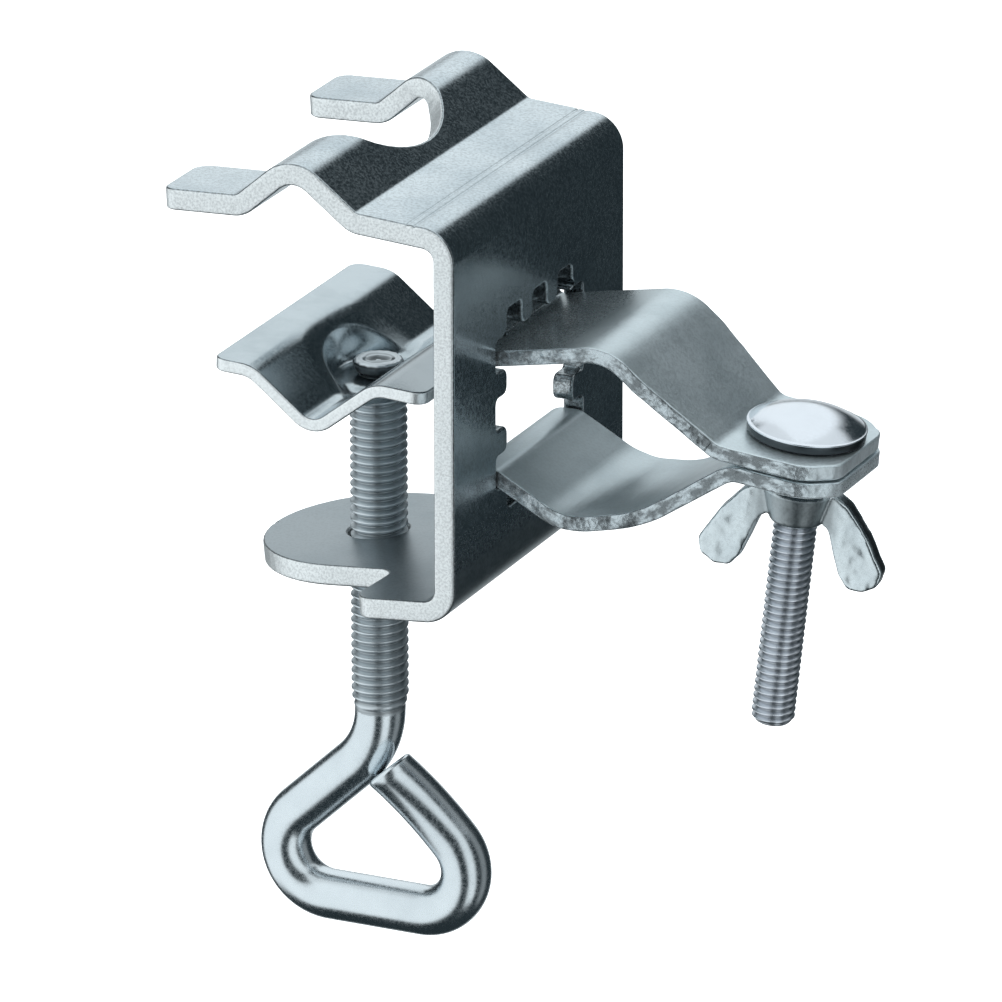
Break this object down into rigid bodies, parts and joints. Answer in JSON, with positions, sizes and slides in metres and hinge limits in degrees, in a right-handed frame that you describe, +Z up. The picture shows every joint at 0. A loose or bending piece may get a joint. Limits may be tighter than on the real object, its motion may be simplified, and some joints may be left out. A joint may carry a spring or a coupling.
{
  "type": "pipe clamp",
  "caption": "Zinc-plated rail clamp for a pole: C bracket with ridge and prongs, V saddle raised by a loop-handled screw, and strap jaws closed by a carriage bolt and wing nut",
  "frame": {"origin": "middle of the flat strip inside the top arm that rests on the rail, on the middle plane", "axes": "+Z up along the clamp screw, +X from the back plate toward the pole jaws, Y across the bracket"},
  "size_m": [0.0938, 0.056, 0.1205],
  "materials": {
    "bracket_zinc": "bright zinc plating, fine mottled grain",
    "saddle_zinc": "bright zinc plating",
    "screw_zinc": "bright zinc plating, rolled thread, smooth wire handle",
    "upper_jaw_zinc": "zinc plating over rolled strip, rough sheared edges",
    "lower_jaw_zinc": "zinc plating over rolled strip, rough sheared edges",
    "bolt_zinc": "glossy zinc-plated dome, rolled thread",
    "washer_zinc": "bright zinc plating",
    "nut_zinc": "rough cast wings, zinc plated"
  },
  "bodies": {
    "bracket": {"rail_bracket": "bracket_zinc"},
    "saddle": {"pressure_saddle": "saddle_zinc"},
    "screw": {"clamp_screw": "screw_zinc"},
    "upper_arm": {"upper_jaw": "upper_jaw_zinc", "carriage_bolt": "bolt_zinc"},
    "lower_arm": {"lower_jaw": "lower_jaw_zinc"},
    "washer_ring": {"washer": "washer_zinc"},
    "nut": {"wing_nut": "nut_zinc"}
  },
  "joints": [
    {"name": "saddle_lift", "type": "slide", "parent": "bracket", "child": "saddle", "axis": [0, 0, 1], "range_m": [-0.0185, 0.0205]},
    {"name": "screw_turn", "type": "hinge", "parent": "saddle", "child": "screw", "pos_m": [-0.015, 0, -0.0313], "axis": [0, 0, 1], "range_deg": [-5330, 5906]},
    {"name": "upper_swing", "type": "hinge", "parent": "bracket", "child": "upper_arm", "pos_m": [0.0079, 0, -0.02005], "axis": [0, -1, 0], "range_deg": [0, 6]},
    {"name": "lower_swing", "type": "hinge", "parent": "bracket", "child": "lower_arm", "pos_m": [0.0094, 0, -0.03795], "axis": [0, 1, 0], "range_deg": [0, 6]},
    {"name": "nut_travel", "type": "slide", "parent": "upper_arm", "child": "washer_ring", "axis": [-0.1091, 0, -0.994], "range_m": [0, 0.01]},
    {"name": "nut_turn", "type": "hinge", "parent": "washer_ring", "child": "nut", "pos_m": [0.04809, 0, -0.03555], "axis": [-0.1091, 0, -0.994], "range_deg": [0, 3540]}
  ],
  "couplings": [
    {"joint": "screw_turn", "follows": "saddle_lift", "rad_per_m": 5026.5},
    {"joint": "nut_travel", "follows": "nut_turn", "m_per_rad": 0.00015915},
    {"joint": "upper_swing", "follows": "nut_turn", "ratio": 0.0015254},
    {"joint": "lower_swing", "follows": "nut_turn", "ratio": 0.0015254}
  ]
}
